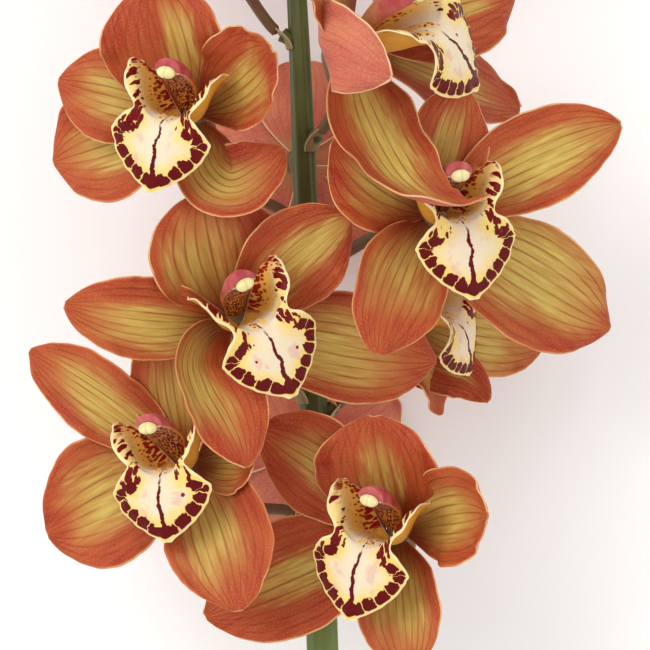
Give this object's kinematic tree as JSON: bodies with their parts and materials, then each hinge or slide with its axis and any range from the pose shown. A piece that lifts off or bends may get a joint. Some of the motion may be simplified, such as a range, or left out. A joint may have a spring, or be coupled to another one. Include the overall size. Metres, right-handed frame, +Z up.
{
  "type": "cymbidium orchid stem",
  "caption": "Cut flower spike of a standard cymbidium orchid, lying down: an arching stem whose open blooms have five tepals, a marked lip and an arched column, with buds at its tip.",
  "frame": {"origin": "on the surface that the stem lies on, under the middle of its bounding box", "axes": "+Y along the stem from its cut end towards its flowering tip, +Z up, with the open blooms facing up"},
  "size_m": [0.2032, 0.5715, 0.1607],
  "materials": {
    "tepals": "waxy petal, coral with a golden middle and fine veins",
    "lip": "waxy petal, cream with crimson blotches and dots",
    "column": "waxy, rose above and finely dotted below",
    "anther_cap": "smooth, pale yellow",
    "pedicel": "smooth stalk, brown over olive",
    "stem": "smooth stalk, olive green with soft ridges",
    "bud": "waxy closed bud, coral over green"
  },
  "bodies": {
    "root": {"stem": "stem", "bloom_01_tepals": "tepals", "bloom_01_lip": "lip", "bloom_01_column": "column", "bloom_01_anther_cap": "anther_cap", "bloom_01_pedicel": "pedicel", "bloom_02_tepals": "tepals", "bloom_02_lip": "lip", "bloom_02_column": "column", "bloom_02_anther_cap": "anther_cap", "bloom_02_pedicel": "pedicel", "bloom_03_tepals": "tepals", "bloom_03_lip": "lip", "bloom_03_column": "column", "bloom_03_anther_cap": "anther_cap", "bloom_03_pedicel": "pedicel", "bloom_04_tepals": "tepals", "bloom_04_lip": "lip", "bloom_04_column": "column", "bloom_04_anther_cap": "anther_cap", "bloom_04_pedicel": "pedicel", "bloom_05_tepals": "tepals", "bloom_05_lip": "lip", "bloom_05_column": "column", "bloom_05_anther_cap": "anther_cap", "bloom_05_pedicel": "pedicel", "bloom_06_tepals": "tepals", "bloom_06_lip": "lip", "bloom_06_column": "column", "bloom_06_anther_cap": "anther_cap", "bloom_06_pedicel": "pedicel", "bloom_07_tepals": "tepals", "bloom_07_lip": "lip", "bloom_07_column": "column", "bloom_07_anther_cap": "anther_cap", "bloom_07_pedicel": "pedicel", "bloom_08_tepals": "tepals", "bloom_08_lip": "lip", "bloom_08_column": "column", "bloom_08_anther_cap": "anther_cap", "bloom_08_pedicel": "pedicel", "bloom_09_tepals": "tepals", "bloom_09_lip": "lip", "bloom_09_column": "column", "bloom_09_anther_cap": "anther_cap", "bloom_09_pedicel": "pedicel", "bloom_10_tepals": "tepals", "bloom_10_lip": "lip", "bloom_10_column": "column", "bloom_10_anther_cap": "anther_cap", "bloom_10_pedicel": "pedicel", "bloom_11_tepals": "tepals", "bloom_11_lip": "lip", "bloom_11_column": "column", "bloom_11_anther_cap": "anther_cap", "bloom_11_pedicel": "pedicel", "bud_01": "bud", "bud_02": "bud"}
  },
  "joints": []
}
